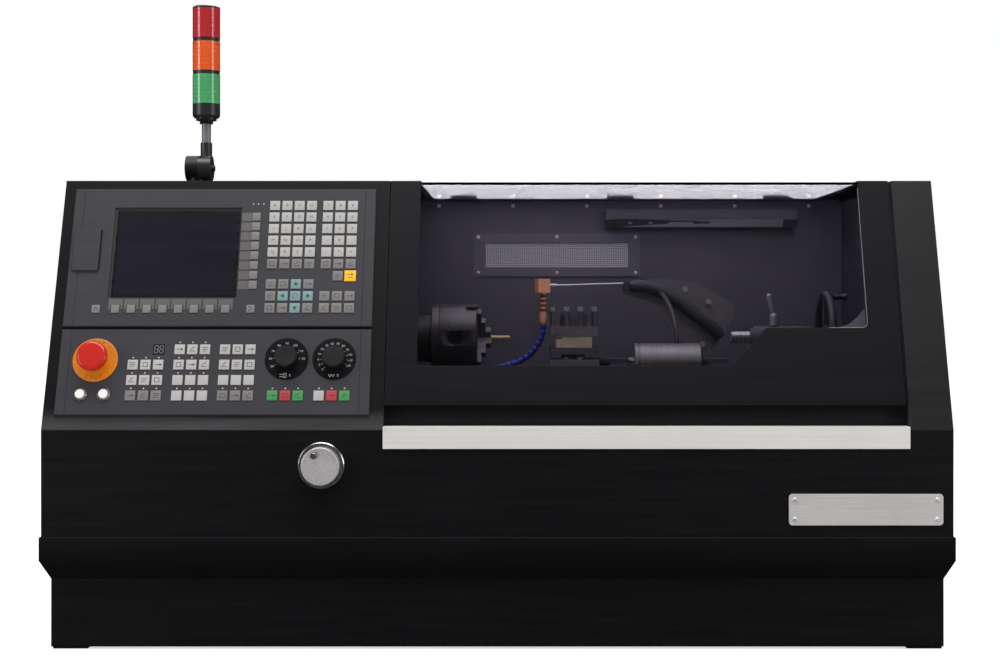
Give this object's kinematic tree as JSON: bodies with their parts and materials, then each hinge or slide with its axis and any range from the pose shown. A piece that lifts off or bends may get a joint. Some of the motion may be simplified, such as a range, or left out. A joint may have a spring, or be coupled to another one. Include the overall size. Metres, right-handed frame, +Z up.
{
  "type": "benchtop CNC lathe",
  "caption": "Enclosed benchtop lathe with a lift-up see-through hood, slanted operator panel, jaw chuck, tool turret, tailstock and folding tower light.",
  "frame": {"origin": "on the floor at the centre of the footprint", "axes": "+X to the operator's right along the spindle, +Y to the rear, +Z up"},
  "size_m": [1.223, 0.522, 0.901],
  "materials": {
    "black_sheet": "satin black powder coat",
    "brushed_strip": "brushed along its length",
    "bright_screws": "zinc plated",
    "dark_trim": "satin",
    "vent_plate": "perforated plate",
    "lamp": "satin housing with a clear strip",
    "clear_sheet": "clear, slightly smoked plastic sheet",
    "tower_black": "satin",
    "red_lens": "ribbed, translucent",
    "amber_lens": "ribbed, translucent",
    "green_lens": "ribbed, translucent",
    "panel_grey": "fine grained",
    "screen_glass": "dark screen glass",
    "key_cream": "satin",
    "key_grey": "satin",
    "key_colours": "satin, pale teal, yellow, green and red",
    "stop_yellow": "gloss",
    "stop_red": "gloss",
    "white_buttons": "gloss",
    "skirt_black": "matt",
    "bright_chrome": "polished",
    "cast": "painted and ground castings",
    "ground_steel": "ground",
    "hard_steel": "hardened",
    "brass": "turned",
    "tool_steel": "ground",
    "satin_aluminium": "satin",
    "copper_brass": "bare copper-coloured block",
    "blue_plastic": "satin"
  },
  "bodies": {
    "enclosure": {"base_plinth": "black_sheet", "chip_tray": "black_sheet", "front_panel": "black_sheet", "control_housing": "black_sheet", "right_column": "black_sheet", "rear_wall": "black_sheet", "sill_strip": "brushed_strip", "name_plate": "brushed_strip", "cover_screws": "bright_screws", "vent_frame": "dark_trim", "vent_mesh": "vent_plate", "lamp_batten": "lamp", "hinge_pins": "dark_trim", "tower_base": "tower_black", "operator_panel": "panel_grey", "displays": "screen_glass", "cream_keys": "key_cream", "grey_keys": "key_grey", "colour_keys": "key_colours", "machine_panel": "panel_grey", "stop_ring": "stop_yellow", "button_rings": "bright_screws", "dial_skirts": "skirt_black", "pulse_ring": "bright_chrome", "bed": "cast", "headstock": "cast"},
    "hood": {"hood_frame": "black_sheet", "hood_window": "clear_sheet", "hinge_leaves": "dark_trim"},
    "tower": {"tower_stem": "tower_black", "red_lens": "red_lens", "amber_lens": "amber_lens", "green_lens": "green_lens"},
    "flap": {"media_flap": "panel_grey"},
    "stop": {"stop_head": "stop_red"},
    "left_push": {"left_button": "white_buttons"},
    "right_push": {"right_button": "white_buttons"},
    "spindle_override": {"spindle_dial": "panel_grey"},
    "feed_override": {"feed_dial": "panel_grey"},
    "handwheel": {"pulse_wheel": "bright_chrome"},
    "crank": {"crank_knob": "bright_chrome"},
    "work_spindle": {"spindle": "ground_steel", "chuck": "ground_steel", "workpiece": "brass"},
    "jaw_a": {"jaw_1": "hard_steel"},
    "jaw_b": {"jaw_2": "hard_steel"},
    "jaw_c": {"jaw_3": "hard_steel"},
    "carriage": {"saddle": "cast", "turret_motor": "satin_aluminium", "coolant_arm": "dark_trim", "coolant_line": "copper_brass", "coolant_hose": "blue_plastic"},
    "cross": {"cross_slide": "hard_steel"},
    "turret": {"tool_turret": "hard_steel", "tool_holder": "tool_steel"},
    "tail": {"tailstock": "cast"},
    "tail_quill": {"quill": "ground_steel"},
    "tail_lever": {"quill_lever": "satin_aluminium"},
    "tail_handwheel": {"tail_wheel": "hard_steel"},
    "screw": {"leadscrew": "ground_steel"}
  },
  "joints": [
    {"name": "hood_lift", "type": "hinge", "parent": "enclosure", "child": "hood", "pos_m": [0.192, 0.257, 0.64], "axis": [-1, 0, 0], "range_deg": [0, 75]},
    {"name": "tower_fold", "type": "hinge", "parent": "enclosure", "child": "tower", "pos_m": [-0.4435, 0.001, 0.6625], "axis": [-1, 0, 0], "range_deg": [0, 90]},
    {"name": "flap_open", "type": "hinge", "parent": "enclosure", "child": "flap", "pos_m": [-0.5875, -0.14555, 0.53779], "axis": [0, -0.3338, -0.9426], "range_deg": [0, 80]},
    {"name": "stop_push", "type": "slide", "parent": "enclosure", "child": "stop", "axis": [0, 0.9426, -0.3338], "range_m": [0, 0.005]},
    {"name": "left_button_push", "type": "slide", "parent": "enclosure", "child": "left_push", "axis": [0, 0.9426, -0.3338], "range_m": [0, 0.0025], "stiffness_N_per_m": 400},
    {"name": "right_button_push", "type": "slide", "parent": "enclosure", "child": "right_push", "axis": [0, 0.9426, -0.3338], "range_m": [0, 0.0025], "stiffness_N_per_m": 400},
    {"name": "spindle_override_turn", "type": "hinge", "parent": "enclosure", "child": "spindle_override", "pos_m": [-0.2855, -0.19692, 0.38795], "axis": [0, 0.9426, -0.3338], "range_deg": [-120, 120]},
    {"name": "feed_override_turn", "type": "hinge", "parent": "enclosure", "child": "feed_override", "pos_m": [-0.221, -0.19692, 0.38795], "axis": [0, 0.9426, -0.3338], "range_deg": [-135, 135]},
    {"name": "handwheel_turn", "type": "hinge", "parent": "enclosure", "child": "handwheel", "pos_m": [-0.235, -0.227, 0.247], "axis": [0, 1, 0], "continuous": true},
    {"name": "crank_spin", "type": "hinge", "parent": "handwheel", "child": "crank", "pos_m": [-0.24126, -0.247, 0.26248], "axis": [0, 1, 0], "continuous": true},
    {"name": "spindle_turn", "type": "hinge", "parent": "enclosure", "child": "work_spindle", "pos_m": [-0.034, 0.063, 0.4115], "axis": [1, 0, 0], "continuous": true},
    {"name": "jaw_1_slide", "type": "slide", "parent": "work_spindle", "child": "jaw_a", "axis": [0, -0.5, 0.866], "range_m": [0, 0.006]},
    {"name": "jaw_2_slide", "type": "slide", "parent": "work_spindle", "child": "jaw_b", "axis": [0, 1, 0], "range_m": [0, 0.006]},
    {"name": "jaw_3_slide", "type": "slide", "parent": "work_spindle", "child": "jaw_c", "axis": [0, -0.5, -0.866], "range_m": [0, 0.006]},
    {"name": "carriage_slide", "type": "slide", "parent": "enclosure", "child": "carriage", "axis": [1, 0, 0], "range_m": [-0.045, 0.03]},
    {"name": "cross_travel", "type": "slide", "parent": "carriage", "child": "cross", "axis": [0, 1, 0], "range_m": [-0.04, 0.015]},
    {"name": "turret_index", "type": "hinge", "parent": "cross", "child": "turret", "pos_m": [0.1105, 0.073, 0.4115], "axis": [0, 0, 1], "continuous": true},
    {"name": "tail_travel", "type": "slide", "parent": "enclosure", "child": "tail", "axis": [1, 0, 0], "range_m": [-0.03, 0.02]},
    {"name": "quill_feed", "type": "slide", "parent": "tail", "child": "tail_quill", "axis": [-1, 0, 0], "range_m": [0, 0.0602]},
    {"name": "tail_wheel_turn", "type": "hinge", "parent": "tail", "child": "tail_handwheel", "pos_m": [0.486, 0.063, 0.4115], "axis": [1, 0, 0], "range_deg": [0, 5400]},
    {"name": "quill_clamp", "type": "hinge", "parent": "tail", "child": "tail_lever", "pos_m": [0.4135, 0.063, 0.4275], "axis": [0, 0, 1], "range_deg": [-40, 40]},
    {"name": "leadscrew_turn", "type": "hinge", "parent": "enclosure", "child": "screw", "pos_m": [-0.143, 0.065, 0.2665], "axis": [1, 0, 0], "range_deg": [-3300, 3300]}
  ],
  "couplings": [
    {"joint": "jaw_2_slide", "follows": "jaw_1_slide", "ratio": 1},
    {"joint": "jaw_3_slide", "follows": "jaw_1_slide", "ratio": 1},
    {"joint": "leadscrew_turn", "follows": "carriage_slide", "rad_per_m": 1256.6},
    {"joint": "quill_feed", "follows": "tail_wheel_turn", "m_per_rad": 0.00063662}
  ]
}
